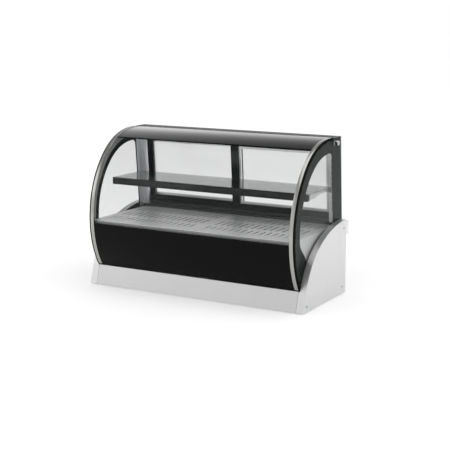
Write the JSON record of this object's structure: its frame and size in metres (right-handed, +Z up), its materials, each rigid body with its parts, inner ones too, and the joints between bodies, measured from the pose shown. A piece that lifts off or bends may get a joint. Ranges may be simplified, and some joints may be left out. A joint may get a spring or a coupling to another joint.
{
  "type": "bakery display case",
  "caption": "Countertop chilled bakery display case with lift-up curved front glass, black printed bands, sliding rear doors, glass shelf and brushed steel base.",
  "frame": {"origin": "on the counter, under the middle of the whole case", "axes": "+X along the counter to the customer's right, -Y towards the customer, +Z up"},
  "size_m": [1.2222, 0.546, 0.784],
  "materials": {
    "galvanised": "galvanised sheet, dull",
    "foot_rubber": "matte",
    "end_cap_steel": "vertical brushed",
    "skirt_steel": "brushed along the length",
    "rear_steel": "brushed",
    "foam": "rigid foam",
    "liner_steel": "satin",
    "deck_steel": "perforated, satin",
    "end_glass": "clear, black printed border",
    "gasket_rubber": "matte",
    "frame_aluminium": "mill finish",
    "pin_steel": "turned",
    "nylon": "matte",
    "chrome_cap": "polished",
    "front_glass": "clear, black printed bands",
    "trim_steel": "bright polished",
    "black_aluminium": "black, satin",
    "post_aluminium": "satin anodised",
    "door_black": "black, gloss",
    "door_glass": "clear",
    "shelf_glass": "clear, green edge",
    "lens": "opal diffuser",
    "compressor_black": "black enamel",
    "fin_aluminium": "fins",
    "motor_black": "black",
    "copper": "drawn copper",
    "hose": "soft",
    "tray_plastic": "moulded",
    "control_plastic": "moulded, fine grain",
    "box_plastic": "moulded",
    "fan_plastic": "moulded",
    "rocker_plastic": "translucent green",
    "button_rubber": "soft touch"
  },
  "bodies": {
    "cabinet": {"base_pan": "galvanised", "feet": "foot_rubber", "end_caps": "end_cap_steel", "front_skirt": "skirt_steel", "rear_panel": "rear_steel", "rear_ledge": "rear_steel", "inner_frames": "galvanised", "tank_shell": "galvanised", "tank_insulation": "foam", "tank_liner": "liner_steel", "front_air_duct": "liner_steel", "deck_pans": "deck_steel", "end_glasses": "end_glass", "glass_rubbers": "gasket_rubber", "end_glass_channels": "frame_aluminium", "hinge_pins": "pin_steel", "hinge_bushes": "nylon", "hinge_caps": "chrome_cap", "rear_header": "black_aluminium", "door_sill": "black_aluminium", "corner_posts": "post_aluminium", "shelf_glass": "shelf_glass", "shelf_fascia": "black_aluminium", "shelf_brackets": "post_aluminium", "lamp_rail": "black_aluminium", "lamp_lenses": "lens", "compressor": "compressor_black", "compressor_mounts": "foot_rubber", "condenser_coil": "fin_aluminium", "condenser_shroud": "galvanised", "fan_motors": "motor_black", "evaporator_coil": "fin_aluminium", "evaporator_fan_plate": "galvanised", "refrigerant_pipes": "copper", "drain_hose": "hose", "temperature_controller": "control_plastic", "switch_housings": "control_plastic", "cable_gland": "control_plastic", "electrics_box": "box_plastic", "panel_screws": "pin_steel"},
    "front_glass_lift": {"front_glass": "front_glass", "glass_trims": "trim_steel", "glass_edge_seals": "gasket_rubber", "hinge_barrel": "black_aluminium", "hinge_plugs": "nylon"},
    "left_door": {"left_door_frame": "door_black", "left_door_panes": "door_glass", "left_door_spacer": "frame_aluminium"},
    "right_door": {"right_door_frame": "door_black", "right_door_panes": "door_glass", "right_door_spacer": "frame_aluminium"},
    "condenser_fan": {"condenser_fan": "fan_plastic"},
    "left_tank_fan": {"left_tank_fan": "fan_plastic"},
    "right_tank_fan": {"right_tank_fan": "fan_plastic"},
    "condensate_tray": {"condensate_tray": "tray_plastic"},
    "light_rocker": {"light_rocker": "rocker_plastic"},
    "power_rocker": {"power_rocker": "rocker_plastic"},
    "set_button": {"set_button": "button_rubber"},
    "up_button": {"up_button": "button_rubber"},
    "down_button": {"down_button": "button_rubber"}
  },
  "joints": [
    {"name": "front_glass_hinge", "type": "hinge", "parent": "cabinet", "child": "front_glass_lift", "pos_m": [0, 0.17, 0.757], "axis": [-1, 0, 0], "range_deg": [0, 62]},
    {"name": "left_door_slide", "type": "slide", "parent": "cabinet", "child": "left_door", "axis": [1, 0, 0], "range_m": [0, 0.535]},
    {"name": "right_door_slide", "type": "slide", "parent": "cabinet", "child": "right_door", "axis": [-1, 0, 0], "range_m": [0, 0.535]},
    {"name": "condenser_fan_spin", "type": "hinge", "parent": "cabinet", "child": "condenser_fan", "pos_m": [-0.33, 0.124, 0.0837], "axis": [0, 1, 0], "continuous": true},
    {"name": "left_tank_fan_spin", "type": "hinge", "parent": "cabinet", "child": "left_tank_fan", "pos_m": [-0.22, 0.099, 0.2732], "axis": [0, 1, 0], "continuous": true},
    {"name": "right_tank_fan_spin", "type": "hinge", "parent": "cabinet", "child": "right_tank_fan", "pos_m": [0.22, 0.099, 0.2732], "axis": [0, 1, 0], "continuous": true},
    {"name": "condensate_tray_slide", "type": "slide", "parent": "cabinet", "child": "condensate_tray", "axis": [0, 1, 0], "range_m": [0, 0.18]},
    {"name": "light_rocker_tilt", "type": "hinge", "parent": "cabinet", "child": "light_rocker", "pos_m": [0.39, 0.239, 0.15], "axis": [1, 0, 0], "range_deg": [-18, 0]},
    {"name": "power_rocker_tilt", "type": "hinge", "parent": "cabinet", "child": "power_rocker", "pos_m": [0.425, 0.239, 0.15], "axis": [1, 0, 0], "range_deg": [-18, 0]},
    {"name": "set_button_press", "type": "slide", "parent": "cabinet", "child": "set_button", "axis": [0, -1, 0], "range_m": [0, 0.0012], "stiffness_N_per_m": 400},
    {"name": "up_button_press", "type": "slide", "parent": "cabinet", "child": "up_button", "axis": [0, -1, 0], "range_m": [0, 0.0012], "stiffness_N_per_m": 400},
    {"name": "down_button_press", "type": "slide", "parent": "cabinet", "child": "down_button", "axis": [0, -1, 0], "range_m": [0, 0.0012], "stiffness_N_per_m": 400}
  ]
}
